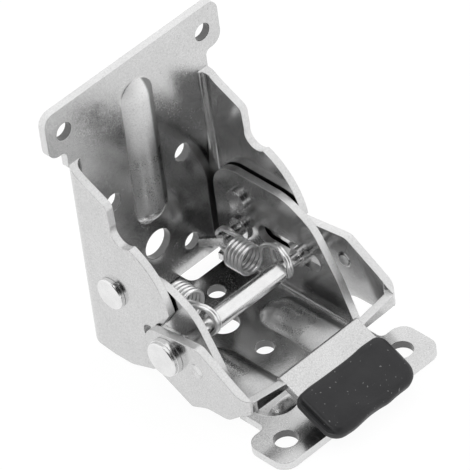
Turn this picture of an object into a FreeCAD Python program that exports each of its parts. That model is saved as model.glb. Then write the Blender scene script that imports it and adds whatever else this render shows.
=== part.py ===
import FreeCAD, Part
import math
import os
import Sketcher

# Folding table leg bracket, millimetres.
# X runs across, the grip points to -Y, Z runs up from the underside of the base.
# The hinge axis is the line Y = 0 at the height hinge_z.

SIZES = {
    # sheet steel
    "sheet": 2.2,
    "lever_sheet": 2.3,
    "slip": 0.05,
    "rim_gap": 0.5,
    # main axes
    "hinge_z": 24.0,
    "lock_y": -21.4,
    "lock_z": 17.0,
    "anchor_y": 0.5,
    "anchor_z": 14.2,
    # rod and rivets
    "rod_radius": 1.7,
    "collar_radius": 2.6,
    "collar_in": 1.6,
    "collar_out": 0.3,
    "sleeve_radius": 2.6,
    "sleeve_in": 9.6,
    "head_radius": 4.9,
    "head_thick": 1.2,
    "head_edge": 0.5,
    "washer_radius": 5.1,
    "washer_thick": 1.5,
    "washer_edge": 0.35,
    "peen_radius": 2.9,
    "peen_thick": 0.9,
    "peen_washer": 3.3,
    "peen_washer_thick": 0.8,
    "rivet_radius": 2.5,
    "rivet_head": 4.4,
    "rivet_cap": 1.5,
    "rivet_edge": 0.6,
    "rivet_stub": 3.3,
    "rivet_stub_out": 1.3,
    "anchor_radius": 1.8,
    "anchor_out": 6.6,
    "anchor_ring": 3.4,
    "anchor_ring_thick": 0.9,
    "tail_long": 6.6,
    "tail_half": 0.65,
    "tail_high": 2.4,
    "tail_angle": 45.0,
    # upright bracket
    "side_gap": 0.6,
    "up_bend": 2.2,
    "web_back": 12.4,
    "web_low": 2.4,
    "ear_out": 5.2,
    "tee_top": 78.4,
    "tee_low": 64.7,
    "tee_round": 3.4,
    "tee_inside": 1.6,
    "neck_in": 0.4,
    "neck_low": 59.4,
    "ear_hole_in": 5.9,
    "ear_hole_z": 71.0,
    "ear_hole": 2.5,
    "web_hole_x": 12.2,
    "web_hole_z": 39.5,
    "web_hole": 2.65,
    "low_hole_x": 11.2,
    "low_hole_z": 10.3,
    "low_hole": 2.5,
    "mid_hole_z": 17.2,
    "mid_hole": 4.3,
    "rib_half": 5.5,
    "rib_out": 2.8,
    "rib_low": 30.7,
    "rib_top": 66.0,
    "cam_radius": 20.6,
    "cam_low_z": 27.2,
    "dip_y": -6.2,
    "dip_z": 45.6,
    "dip_radius": 3.8,
    "dip_left_z": 46.6,
    # base bracket
    "base_half": 22.0,
    "base_bend": 1.6,
    "base_rear": 9.0,
    "base_top": 33.0,
    "base_crown": 9.0,
    "slot_rear": -8.9,
    "slot_front": -25.4,
    "slot_half": 2.85,
    "slot_z": 16.75,
    "tongue_half": 5.8,
    "tongue_end": 11.6,
    "relief_round": 2.4,
    "web_rear": 5.8,
    "foot_out": 6.3,
    "foot_rear": -46.6,
    "foot_front": -60.8,
    "foot_round": 4.0,
    "throat_in": 1.0,
    "throat_deep": 2.0,
    "foot_hole_in": 7.6,
    "foot_hole_y": -53.6,
    "foot_hole": 3.2,
    "base_hole_big_y": -11.4,
    "base_hole_big": 4.0,
    "base_hole_y": -25.8,
    "base_hole": 2.6,
    "rear_hole_x": 7.3,
    "rear_hole_y": -1.3,
    "rear_hole": 2.5,
    "bead_x": 12.2,
    "bead_half": 6.4,
    "bead_up": 2.5,
    "bead_rear": -21.0,
    "bead_front": -41.0,
    # release lever
    "lever_gap": 0.5,
    "lever_front": -48.2,
    "lever_nose": 0.3,
    "lever_bend": 1.6,
    "lever_high": 30.0,
    "lever_low": 3.0,
    "tab_in": 13.7,
    "tab_y": -46.9,
    "tab_z": 13.4,
    "tab_angle": 25.0,
    "tab_wide_len": 7.6,
    "tab_len": 19.6,
    "tab_tip_in": 0.9,
    "tab_brow": 1.3,
    "strip_in": 2.4,
    "strip_top": 14.5,
    "strip_low": 11.1,
    "strip_mid_in": 6.4,
    "strip_thick": 1.6,
    "strip_drop": 0.7,
    "strip_lap": 1.2,
    "pip_y": -31.1,
    "pip_z": 17.0,
    "pip_half": 2.3,
    "pip_out": 0.9,
    # rubber grip
    "grip_wide": 1.5,
    "grip_from": 5.9,
    "grip_len": 15.1,
    "grip_thick": 5.0,
    "grip_rise": 1.5,
    "grip_edge": 1.9,
    "grip_corner": 4.6,
    "grip_corner_rear": 2.6,
    # springs
    "wire": 0.6,
    "coil_radius": 3.7,
    "coil_in": 9.4,
    "coil_z": 16.8,
    "coil_rear": -6.3,
    "coil_pitch": 1.25,
    "coil_turns": 6,
    "link_in": 5.4,
    "link_z": 18.4,
    "link_long": 4.4,
    "loop_radius": 4.3,
    "loop_in": 5.7,
    "loop_wide": 2.3,
    "loop_front_y": -20.2,
    "loop_front_z": 18.5,
    "loop_rear_y": -1.4,
    "loop_rear_z": 14.2,
}

# Corner points of the side outlines: name, Y, Z, corner radius.
UPRIGHT_SIDE = [
    ("heel", 12.4, 2.6, 0.0),
    ("sole_rear", 3.0, 1.5, 0.0),
    ("sole_front", -3.2, 1.6, 6.0),
    ("toe_low", -12.8, 5.0, 5.0),
    ("toe", -14.6, 9.0, 2.0),
    ("jaw_low", -14.0, 14.6, 1.0),
    ("mouth_low", -9.9, 14.6, 2.2),
    ("mouth_top", -9.9, 19.6, 2.2),
    ("tooth", -15.0, 19.6, 1.2),
]

UPRIGHT_SLOPE = [
    ("step", -2.2, 52.9, 2.0),
    ("brow", 6.6, 57.4, 4.0),
    ("nape", 12.4, 61.6, 0.0),
]

BASE_SIDE = [
    ("crest_front", -16.6, 33.0, 14.0),
    ("shoulder", -26.0, 28.4, 14.0),
    ("shin", -33.6, 14.6, 20.0),
    ("ankle", -39.6, 0.0, 0.0),
]

LEVER_SIDE = [
    ("tail_top", -13.4, 22.0, 4.4),
    ("tail_low", -13.4, 12.0, 4.4),
    ("belly", -18.0, 8.4, 3.0),
    ("rocker", -27.8, 3.3, 1.6),
    ("rise", -33.6, 5.9, 8.0),
    ("chin_rear", -41.0, 6.2, 5.0),
    ("chin", -45.4, 9.9, 3.0),
    ("chin_front", -51.4, 11.6, 0.0),
    ("brow_front", -51.4, 14.5, 0.0),
    ("bend_top", -47.4, 14.9, 1.6),
    ("crest", -32.4, 24.7, 3.0),
]

# Sizes that are sums of others, so that the plates stay nested when one width changes.
SUMS = {
    "up_half": ("base_half", "side_gap", "sheet"),
    "lever_half": ("up_half", "lever_gap", "lever_sheet"),
    "tee_half": ("up_half", "ear_out"),
    "neck_half": ("up_half", "-neck_in"),
    "ear_hole_x": ("tee_half", "-ear_hole_in"),
    "foot_half": ("base_half", "foot_out"),
    "throat_half": ("base_half", "-throat_in"),
    "throat_rear": ("base_ankle_py", "throat_deep"),
    "foot_hole_x": ("foot_half", "-foot_hole_in"),
    "wall_in": ("base_half", "-sheet"),
    "collar_from": ("wall_in", "-collar_in"),
    "collar_to": ("base_half", "collar_out"),
    "sleeve_half": ("base_half", "-sleeve_in"),
    "up_bend_out": ("up_bend", "sheet"),
    "base_bend_out": ("base_bend", "sheet"),
    "lever_bend_out": ("lever_bend", "lever_sheet"),
    "relief_half": ("base_half", "-base_bend_out"),
    "tab_half": ("lever_half", "-tab_in"),
    "tab_tip_half": ("tab_half", "-tab_tip_in"),
    "strip_half": ("lever_half", "-strip_in"),
    "strip_mid": ("lever_half", "-strip_mid_in"),
    "strip_end": ("tab_half", "-strip_lap"),
    "strip_end_top": ("tab_z", "-strip_drop"),
    "strip_end_low": ("tab_z", "-strip_drop", "-strip_thick"),
    "grip_half": ("tab_half", "grip_wide"),
    "coil_x": ("wall_in", "-coil_in"),
    "link_x": ("wall_in", "-link_in"),
    "loop_x": ("wall_in", "-loop_in"),
}

for prefix, table in (
    ("up", UPRIGHT_SIDE),
    ("up", UPRIGHT_SLOPE),
    ("base", BASE_SIDE),
    ("lever", LEVER_SIDE),
):
    for name, y, z, corner in table:
        SIZES[prefix + "_" + name + "_py"] = y
        SIZES[prefix + "_" + name + "_pz"] = z
        if corner > 0.0:
            SIZES[prefix + "_" + name + "_round"] = corner

os.makedirs("parts", exist_ok=True)
doc = FreeCAD.newDocument("leg_bracket")
sheet = doc.addObject("Spreadsheet::Sheet", "dims")
for row, (alias, value) in enumerate(SIZES.items(), start=1):
    sheet.set("A" + str(row), alias)
    sheet.set("B" + str(row), str(value))
    sheet.setAlias("B" + str(row), alias)
doc.recompute()


def flip(word):
    if word.startswith("-"):
        return word[1:]
    return "-" + word


def spread_out(names):
    # replaces each size that is a sum by the sizes that it's made of
    words = []
    for name in names:
        word = name.lstrip("-")
        if word not in SUMS:
            words.append(name)
        elif name.startswith("-"):
            words.extend(spread_out([flip(item) for item in SUMS[word]]))
        else:
            words.extend(spread_out(SUMS[word]))
    return words


def total(*names):
    # A sum of named sizes, as text for an expression and as a number.
    text = ""
    value = 0.0
    for name in spread_out(names):
        word = name.lstrip("-")
        if name.startswith("-"):
            text = text + " - dims." + word
            value = value - SIZES[word]
        else:
            text = text + " + dims." + word
            value = value + SIZES[word]
    if text.startswith(" + "):
        text = text[3:]
    if not text:
        text = "0"
    return text.strip(), value


def size(name):
    return total(name)[1]


def plane(body, role):
    for feature in body.Origin.OriginFeatures:
        if feature.Role == role:
            return feature
    return None


def new_body(name):
    return doc.addObject("PartDesign::Body", name)


def new_sketch(body, name, role, offset=None):
    # offset is a sum of named sizes along the plane's normal
    sketch = body.newObject("Sketcher::SketchObject", name)
    sketch.AttachmentSupport = [(plane(body, role), "")]
    sketch.MapMode = "FlatFace"
    if offset is not None:
        text, value = total(*offset)
        sketch.AttachmentOffset = FreeCAD.Placement(
            FreeCAD.Vector(0, 0, value), FreeCAD.Rotation()
        )
        sketch.setExpression(".AttachmentOffset.Base.z", text)
    return sketch


def pin_point(sketch, geo, pos, u, v):
    # u and v are sums of named sizes, or None to leave that direction free
    if u is not None:
        text, value = total(*u)
        index = sketch.addConstraint(Sketcher.Constraint("DistanceX", -1, 1, geo, pos, value))
        sketch.setExpression("Constraints[" + str(index) + "]", text)
    if v is not None:
        text, value = total(*v)
        index = sketch.addConstraint(Sketcher.Constraint("DistanceY", -1, 1, geo, pos, value))
        sketch.setExpression("Constraints[" + str(index) + "]", text)


def add_outline(sketch, points):
    # points: (u sum, v sum) corners of a closed outline with straight sides
    spots = []
    for u, v in points:
        spots.append(FreeCAD.Vector(total(*u)[1], total(*v)[1], 0))
    first = None
    last = None
    for index in range(len(spots)):
        line = Part.LineSegment(spots[index], spots[(index + 1) % len(spots)])
        geo = sketch.addGeometry(line, False)
        if first is None:
            first = geo
        if last is not None:
            sketch.addConstraint(Sketcher.Constraint("Coincident", last, 2, geo, 1))
        last = geo
    sketch.addConstraint(Sketcher.Constraint("Coincident", last, 2, first, 1))
    for index in range(len(points)):
        pin_point(sketch, first + index, 1, points[index][0], points[index][1])


def add_circle(sketch, u, v, radius):
    spot = FreeCAD.Vector(total(*u)[1], total(*v)[1], 0)
    text, value = total(*radius)
    circle = Part.Circle(spot, FreeCAD.Vector(0, 0, 1), value)
    geo = sketch.addGeometry(circle, False)
    index = sketch.addConstraint(Sketcher.Constraint("Radius", geo, value))
    sketch.setExpression("Constraints[" + str(index) + "]", text)
    pin_point(sketch, geo, 3, u, v)


def rectangle(u0, u1, v0, v1):
    return [(u0, v0), (u1, v0), (u1, v1), (u0, v1)]


def pad(body, name, sketch, length, reverse=False):
    feature = body.newObject("PartDesign::Pad", name)
    feature.Profile = sketch
    text, value = total(*length)
    feature.Length = value
    feature.setExpression("Length", text)
    feature.Reversed = reverse
    doc.recompute()
    return feature


def revolve(body, name, sketch, axis="H_Axis"):
    feature = body.newObject("PartDesign::Revolution", name)
    feature.Profile = sketch
    feature.ReferenceAxis = (sketch, [axis])
    feature.Angle = 360.0
    doc.recompute()
    return feature


def round_edges(body, name, test, radius):
    # rounds every edge of the body that the test picks
    base = body.Tip
    names = []
    for index, edge in enumerate(base.Shape.Edges, start=1):
        if test(edge):
            names.append("Edge" + str(index))
    if not names:
        raise RuntimeError(name + " finds no edge")
    feature = body.newObject("PartDesign::Fillet", name)
    feature.Base = (base, names)
    text, value = total(radius)
    feature.Radius = value
    feature.setExpression("Radius", text)
    doc.recompute()
    if "Invalid" in feature.State:
        raise RuntimeError(name + " can't be rounded")
    return feature


def along(axis, at):
    # picks straight edges along an axis that pass through the point at
    lines = {"X": (1, 2), "Y": (0, 2), "Z": (0, 1)}

    def test(edge):
        if edge.Curve.TypeId != "Part::GeomLine":
            return False
        a = edge.Vertexes[0].Point
        b = edge.Vertexes[-1].Point
        for index in lines[axis]:
            if abs(a[index] - b[index]) > 1e-4:
                return False
            if abs(a[index] - at[index]) > 0.02:
                return False
        return True

    return test


def side_points(prefix, table):
    points = []
    for name, y, z, corner in table:
        word = prefix + "_" + name
        points.append(((word + "_py",), (word + "_pz",)))
    return points


def round_side(body, prefix, table):
    for name, y, z, corner in table:
        if corner > 0.0:
            word = prefix + "_" + name
            round_edges(body, word + "_edge", along("X", (0, y, z)), word + "_round")


def boolean(kind, name, first, second):
    result = doc.addObject("Part::" + kind, name)
    result.Base = first
    result.Tool = second
    doc.recompute()
    return result


def fuse_all(name, shapes):
    result = doc.addObject("Part::MultiFuse", name)
    result.Shapes = shapes
    doc.recompute()
    return result


def bind(item, prop, *names):
    text, value = total(*names)
    item.setExpression(prop, text)


def round_bar(name, radius, low, high, axis, spot):
    # a cylinder along an axis, with a ball at each end; spot gives the other two centres
    pieces = []
    turn = {
        "X": FreeCAD.Rotation(FreeCAD.Vector(0, 1, 0), 90),
        "Y": FreeCAD.Rotation(FreeCAD.Vector(1, 0, 0), -90),
        "Z": FreeCAD.Rotation(),
    }[axis]
    order = {"X": "xyz", "Y": "yxz", "Z": "zxy"}[axis]
    bar = doc.addObject("Part::Cylinder", name + "_bar")
    bar.Placement = FreeCAD.Placement(FreeCAD.Vector(), turn)
    bind(bar, "Radius", *radius)
    long_names = list(high) + [flip(word) for word in low]
    bind(bar, "Height", *long_names)
    bind(bar, ".Placement.Base." + order[0], *low)
    bind(bar, ".Placement.Base." + order[1], *spot[0])
    bind(bar, ".Placement.Base." + order[2], *spot[1])
    pieces.append(bar)
    for end, where in (("low", low), ("high", high)):
        knob = doc.addObject("Part::Sphere", name + "_" + end)
        bind(knob, "Radius", *radius)
        bind(knob, ".Placement.Base." + order[0], *where)
        bind(knob, ".Placement.Base." + order[1], *spot[0])
        bind(knob, ".Placement.Base." + order[2], *spot[1])
        pieces.append(knob)
    doc.recompute()
    return fuse_all(name, pieces)


# The radius of a pressed rib's crown from its half width and height.
def crown(half, high):
    return (half * half + high * high) / (2.0 * high)


def set_size(name, value):
    # adds a worked-out size to the sheet
    SIZES[name] = value
    row = len(SIZES)
    sheet.set("A" + str(row), name)
    sheet.set("B" + str(row), repr(round(value, 5)))
    sheet.setAlias("B" + str(row), name)


finished = []


def finish(item, node):
    item.Label = node
    finished.append((node, item))


# Upright bracket.


def upright_bracket():
    # bent channel, seen from above
    body = new_body("upright_channel")
    sketch = new_sketch(body, "upright_section", "XY_Plane")
    out = ("up_half",)
    inner = ("up_half", "-sheet")
    back = ("web_back",)
    face = ("web_back", "-sheet")
    far = ("lever_front",)
    add_outline(
        sketch,
        [
            (("-up_half",), back),
            (out, back),
            (out, far),
            (inner, far),
            (inner, face),
            (("-up_half", "sheet"), face),
            (("-up_half", "sheet"), far),
            (("-up_half",), far),
        ],
    )
    pad(body, "upright_channel_pad", sketch, ("up_nape_pz",))
    half = size("up_half")
    thick = size("sheet")
    rear = size("web_back")
    for side in (-1, 1):
        word = "left" if side < 0 else "right"
        spot = (side * (half - thick), rear - thick, 0)
        round_edges(body, "upright_inner_" + word, along("Z", spot), "up_bend")
    for side in (-1, 1):
        word = "left" if side < 0 else "right"
        spot = (side * half, rear, 0)
        round_edges(body, "upright_outer_" + word, along("Z", spot), "up_bend_out")
    channel = body

    # side outline with the locking mouth, the cam arc and the second dip
    body = new_body("upright_side")
    sketch = new_sketch(body, "upright_side_sketch", "YZ_Plane", ("-up_half",))
    corners = side_points("up", UPRIGHT_SIDE) + [None] + side_points("up", UPRIGHT_SLOPE)
    spots = []
    for corner in corners:
        if corner is None:
            spots.append(None)
        else:
            spots.append(FreeCAD.Vector(total(*corner[0])[1], total(*corner[1])[1], 0))
    radius = size("cam_radius")
    centre = FreeCAD.Vector(0, size("hinge_z"), 0)
    low_z = size("cam_low_z")
    low = FreeCAD.Vector(-math.sqrt(radius ** 2 - (low_z - centre.y) ** 2), low_z, 0)
    dip = FreeCAD.Vector(size("dip_y"), size("dip_z"), 0)
    dip_radius = size("dip_radius")
    # where the dip's circle meets the cam's circle
    gap = dip - centre
    span = gap.Length
    foot = (radius ** 2 - dip_radius ** 2 + span ** 2) / (2 * span)
    rise = math.sqrt(radius ** 2 - foot ** 2)
    ray = FreeCAD.Vector(gap).normalize()
    cross = FreeCAD.Vector(-ray.y, ray.x, 0)
    cam_top = centre + ray * foot + cross * rise
    if cam_top.x > dip.x:
        cam_top = centre + ray * foot - cross * rise
    left_z = size("dip_left_z")
    dip_end_y = dip.x + math.sqrt(dip_radius ** 2 - (left_z - dip.y) ** 2)
    dip_end = FreeCAD.Vector(dip_end_y, left_z, 0)

    def angle(spot, middle):
        return math.atan2(spot.y - middle.y, spot.x - middle.x)

    normal = FreeCAD.Vector(0, 0, 1)
    first_part = spots[: len(UPRIGHT_SIDE)]
    second_part = spots[len(UPRIGHT_SIDE) + 1 :]
    chain = []
    for index in range(len(first_part) - 1):
        chain.append(Part.LineSegment(first_part[index], first_part[index + 1]))
    chain.append(Part.LineSegment(first_part[-1], low))
    cam = Part.ArcOfCircle(
        Part.Circle(centre, normal, radius), angle(cam_top, centre), angle(low, centre)
    )
    chain.append(cam)
    start = angle(cam_top, dip)
    stop = angle(dip_end, dip)
    hollow = Part.ArcOfCircle(Part.Circle(dip, normal, dip_radius), start, stop)
    chain.append(hollow)
    chain.append(Part.LineSegment(dip_end, second_part[0]))
    for index in range(len(second_part) - 1):
        chain.append(Part.LineSegment(second_part[index], second_part[index + 1]))
    chain.append(Part.LineSegment(second_part[-1], first_part[0]))
    geos = []
    for item in chain:
        geos.append(sketch.addGeometry(item, False))
    count = len(UPRIGHT_SIDE)
    cam_geo = geos[count]
    dip_geo = geos[count + 1]
    for index in range(count):
        pin_point(sketch, geos[index], 1, corners[index][0], corners[index][1])
    for index in range(count - 1):
        sketch.addConstraint(Sketcher.Constraint("Coincident", geos[index], 2, geos[index + 1], 1))
    # the cam arc runs from its top to its low end against the side's direction
    sketch.addConstraint(Sketcher.Constraint("Coincident", geos[count - 1], 2, cam_geo, 2))
    sketch.addConstraint(Sketcher.Constraint("Coincident", cam_geo, 1, dip_geo, 1))
    sketch.addConstraint(Sketcher.Constraint("Coincident", dip_geo, 2, geos[count + 2], 1))
    pin_point(sketch, cam_geo, 3, None, ("hinge_z",))
    sketch.addConstraint(Sketcher.Constraint("PointOnObject", cam_geo, 3, -2))
    for geo, word in ((cam_geo, "cam_radius"), (dip_geo, "dip_radius")):
        index = sketch.addConstraint(Sketcher.Constraint("Radius", geo, size(word)))
        sketch.setExpression("Constraints[" + str(index) + "]", "dims." + word)
    pin_point(sketch, dip_geo, 3, ("dip_y",), ("dip_z",))
    pin_point(sketch, cam_geo, 2, None, ("cam_low_z",))
    pin_point(sketch, dip_geo, 2, None, ("dip_left_z",))
    tail = geos[count + 2 :]
    for index in range(1, len(tail)):
        sketch.addConstraint(Sketcher.Constraint("Coincident", tail[index - 1], 2, tail[index], 1))
        corner = corners[count + index]
        pin_point(sketch, tail[index], 1, corner[0], corner[1])
    sketch.addConstraint(Sketcher.Constraint("Coincident", tail[-1], 2, geos[0], 1))
    pad(body, "upright_side_pad", sketch, ("up_half", "up_half"))
    round_side(body, "up", UPRIGHT_SIDE)
    round_side(body, "up", UPRIGHT_SLOPE)
    walls = boolean("Common", "upright_walls", channel, body)

    # back plate with the two ears
    body = new_body("upright_plate")
    sketch = new_sketch(body, "upright_plate_sketch", "XZ_Plane", ("-web_back",))
    add_outline(
        sketch,
        [
            (("-neck_half",), ("neck_low",)),
            (("neck_half",), ("neck_low",)),
            (("neck_half",), ("tee_low",)),
            (("tee_half",), ("tee_low",)),
            (("tee_half",), ("tee_top",)),
            (("-tee_half",), ("tee_top",)),
            (("-tee_half",), ("tee_low",)),
            (("-neck_half",), ("tee_low",)),
        ],
    )
    pad(body, "upright_plate_pad", sketch, ("sheet",))
    for side in (-1, 1):
        word = "left" if side < 0 else "right"
        for level in ("top", "low"):
            spot = (side * size("tee_half"), 0, size("tee_" + level))
            round_edges(body, "ear_" + level + "_" + word, along("Y", spot), "tee_round")
        spot = (side * size("neck_half"), 0, size("tee_low"))
        round_edges(body, "ear_inside_" + word, along("Y", spot), "tee_inside")
    blank = fuse_all("upright_blank", [walls, body])

    # pressed rib, round outside and hollow behind
    rib_y = ("web_back", "-sheet", "rib_out", "-rib_crown")
    shell = round_bar("rib_shell", ("rib_crown",), ("rib_low",), ("rib_top",), "Z", RIB_SPOT)
    core = round_bar("rib_core", ("rib_crown", "-sheet"), ("rib_low",), ("rib_top",), "Z", RIB_SPOT)
    keep = doc.addObject("Part::Box", "rib_keep")
    bind(keep, "Length", "tee_half", "tee_half")
    bind(keep, "Width", "sheet", "rib_out", "rib_out")
    bind(keep, "Height", "tee_top")
    bind(keep, ".Placement.Base.x", "-tee_half")
    bind(keep, ".Placement.Base.y", "web_back", "-sheet", "-rib_out", "-rib_out")
    doc.recompute()
    bulge = boolean("Common", "rib_bulge", shell, keep)
    raised = fuse_all("upright_raised", [blank, bulge])
    pressed = boolean("Cut", "upright_pressed", raised, core)

    # holes through the back plate
    body = new_body("upright_holes")
    sketch = new_sketch(body, "upright_holes_sketch", "XZ_Plane", ("-web_back", "-sheet"))
    for side in ("", "-"):
        add_circle(sketch, (side + "ear_hole_x",), ("ear_hole_z",), ("ear_hole",))
        add_circle(sketch, (side + "web_hole_x",), ("web_hole_z",), ("web_hole",))
        add_circle(sketch, (side + "low_hole_x",), ("low_hole_z",), ("low_hole",))
    add_circle(sketch, (), ("mid_hole_z",), ("mid_hole",))
    pad(body, "upright_holes_pad", sketch, ("sheet", "sheet", "sheet"))
    drilled = boolean("Cut", "upright_drilled", pressed, body)

    # running holes for the two hinge rivets
    bore = doc.addObject("Part::Cylinder", "upright_bore")
    bore.Placement = FreeCAD.Placement(
        FreeCAD.Vector(), FreeCAD.Rotation(FreeCAD.Vector(0, 1, 0), 90)
    )
    bind(bore, "Radius", "rivet_radius", "slip")
    bind(bore, "Height", "up_half", "up_half", "sheet", "sheet")
    bind(bore, ".Placement.Base.x", "-up_half", "-sheet")
    bind(bore, ".Placement.Base.z", "hinge_z")
    doc.recompute()
    result = boolean("Cut", "upright_result", drilled, bore)
    finish(result, "upright_bracket")


# Base bracket.


def base_bracket():
    body = new_body("base_channel")
    sketch = new_sketch(body, "base_section", "XZ_Plane", ("-base_rear",))
    out = ("base_half",)
    inner = ("base_half", "-sheet")
    top = ("base_top",)
    floor = ("sheet",)
    zero = ()
    add_outline(
        sketch,
        [
            (("-base_half",), zero),
            (out, zero),
            (out, top),
            (inner, top),
            (inner, floor),
            (("-base_half", "sheet"), floor),
            (("-base_half", "sheet"), top),
            (("-base_half",), top),
        ],
    )
    pad(body, "base_channel_pad", sketch, ("base_rear", "-base_ankle_py"))
    half = size("base_half")
    thick = size("sheet")
    for side in (-1, 1):
        word = "left" if side < 0 else "right"
        spot = (side * (half - thick), 0, thick)
        round_edges(body, "base_inner_" + word, along("Y", spot), "base_bend")
    for side in (-1, 1):
        word = "left" if side < 0 else "right"
        spot = (side * half, 0, 0)
        round_edges(body, "base_outer_" + word, along("Y", spot), "base_bend_out")
    channel = body

    # side outline: round crown over the hinge, straight top, curved nose
    body = new_body("base_side")
    sketch = new_sketch(body, "base_side_sketch", "YZ_Plane", ("-base_half",))
    crown_radius = size("base_crown")
    centre = FreeCAD.Vector(0, size("hinge_z"), 0)
    normal = FreeCAD.Vector(0, 0, 1)
    corners = side_points("base", BASE_SIDE)
    spots = []
    for corner in corners:
        spots.append(FreeCAD.Vector(total(*corner[0])[1], total(*corner[1])[1], 0))
    crown_top = centre + FreeCAD.Vector(0, crown_radius, 0)
    crown_rear = centre + FreeCAD.Vector(crown_radius, 0, 0)
    heel = FreeCAD.Vector(crown_radius, 0, 0)
    geos = []
    geos.append(sketch.addGeometry(Part.LineSegment(heel, crown_rear), False))
    arc = Part.ArcOfCircle(Part.Circle(centre, normal, crown_radius), 0, math.pi / 2)
    geos.append(sketch.addGeometry(arc, False))
    geos.append(sketch.addGeometry(Part.LineSegment(crown_top, spots[0]), False))
    for index in range(len(spots) - 1):
        line = Part.LineSegment(spots[index], spots[index + 1])
        geos.append(sketch.addGeometry(line, False))
    geos.append(sketch.addGeometry(Part.LineSegment(spots[-1], heel), False))
    for index in range(len(geos)):
        after = (index + 1) % len(geos)
        sketch.addConstraint(Sketcher.Constraint("Coincident", geos[index], 2, geos[after], 1))
    index = sketch.addConstraint(Sketcher.Constraint("Radius", geos[1], crown_radius))
    sketch.setExpression("Constraints[" + str(index) + "]", "dims.base_crown")
    pin_point(sketch, geos[1], 3, None, ("hinge_z",))
    sketch.addConstraint(Sketcher.Constraint("PointOnObject", geos[1], 3, -2))
    sketch.addConstraint(Sketcher.Constraint("Vertical", geos[0]))
    sketch.addConstraint(Sketcher.Constraint("PointOnObject", geos[0], 1, -1))
    pin_point(sketch, geos[1], 1, None, ("hinge_z",))
    sketch.addConstraint(Sketcher.Constraint("PointOnObject", geos[1], 2, -2))
    for index in range(len(corners)):
        pin_point(sketch, geos[index + 3], 1, corners[index][0], corners[index][1])
    pad(body, "base_side_pad", sketch, ("base_half", "base_half"))
    round_side(body, "base", BASE_SIDE)
    walls = boolean("Common", "base_walls", channel, body)

    # web between the walls cut back behind, leaving the stop tongue
    body = new_body("base_relief")
    for side in ("", "-"):
        word = "left" if side else "right"
        sketch = new_sketch(body, "relief_" + word, "XY_Plane", ("-sheet",))
        inside = (side + "tongue_half",)
        outside = (side + "relief_half",)
        add_outline(sketch, rectangle(inside, outside, ("web_rear",), ("web_back",)))
        pad(body, "relief_pad_" + word, sketch, ("sheet", "sheet", "sheet"))
    for side in (-1, 1):
        word = "left" if side < 0 else "right"
        spot = (side * size("tongue_half"), size("web_rear"), 0)
        round_edges(body, "relief_corner_" + word, along("Z", spot), "relief_round")
    cleared = boolean("Cut", "base_cleared", walls, body)
    body = new_body("base_tongue")
    sketch = new_sketch(body, "tongue_sketch", "XY_Plane")
    left = ("-tongue_half",)
    right = ("tongue_half",)
    add_outline(sketch, rectangle(left, right, ("web_rear", "-sheet"), ("tongue_end",)))
    pad(body, "tongue_pad", sketch, ("sheet",))
    tongue = body

    # foot plate with the two ears
    body = new_body("base_foot")
    sketch = new_sketch(body, "foot_sketch", "XY_Plane")
    add_outline(
        sketch,
        [
            (("-foot_half",), ("foot_front",)),
            (("foot_half",), ("foot_front",)),
            (("foot_half",), ("foot_rear",)),
            (("throat_half",), ("foot_rear",)),
            (("throat_half",), ("throat_rear",)),
            (("-throat_half",), ("throat_rear",)),
            (("-throat_half",), ("foot_rear",)),
            (("-foot_half",), ("foot_rear",)),
        ],
    )
    pad(body, "foot_pad", sketch, ("sheet",))
    for side in (-1, 1):
        word = "left" if side < 0 else "right"
        for level in ("front", "rear"):
            spot = (side * size("foot_half"), size("foot_" + level), 0)
            round_edges(body, "foot_" + level + "_" + word, along("Z", spot), "foot_round")
        spot = (side * size("throat_half"), size("foot_rear"), 0)
        round_edges(body, "foot_inside_" + word, along("Z", spot), "tee_inside")
    blank = fuse_all("base_blank", [cleared, tongue, body])

    # two pressed beads in the front half of the web
    last = blank
    keep = doc.addObject("Part::Box", "bead_keep")
    bind(keep, "Length", "base_half", "base_half")
    bind(keep, "Width", "base_rear", "-foot_front")
    bind(keep, "Height", "sheet", "bead_up", "bead_up")
    bind(keep, ".Placement.Base.x", "-base_half")
    bind(keep, ".Placement.Base.y", "foot_front")
    doc.recompute()
    for side in ("", "-"):
        word = "left" if side else "right"
        spot = ((side + "bead_x",), ("sheet", "bead_up", "-bead_crown"))
        low = ("bead_front",)
        high = ("bead_rear",)
        shell = round_bar("bead_shell_" + word, ("bead_crown",), low, high, "Y", spot)
        core = round_bar("bead_core_" + word, ("bead_crown", "-sheet"), low, high, "Y", spot)
        bulge = boolean("Common", "bead_bulge_" + word, shell, keep)
        raised = fuse_all("base_raised_" + word, [last, bulge])
        last = boolean("Cut", "base_pressed_" + word, raised, core)

    # holes through the web and the foot
    body = new_body("base_holes")
    sketch = new_sketch(body, "base_holes_sketch", "XY_Plane", ("-sheet",))
    for side in ("", "-"):
        add_circle(sketch, (side + "foot_hole_x",), ("foot_hole_y",), ("foot_hole",))
        add_circle(sketch, (side + "rear_hole_x",), ("rear_hole_y",), ("rear_hole",))
    middle = ()
    add_circle(sketch, middle, ("base_hole_big_y",), ("base_hole_big",))
    add_circle(sketch, middle, ("base_hole_y",), ("base_hole",))
    pad(body, "base_holes_pad", sketch, ("sheet", "sheet", "sheet"))
    drilled = boolean("Cut", "base_drilled", last, body)

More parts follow.
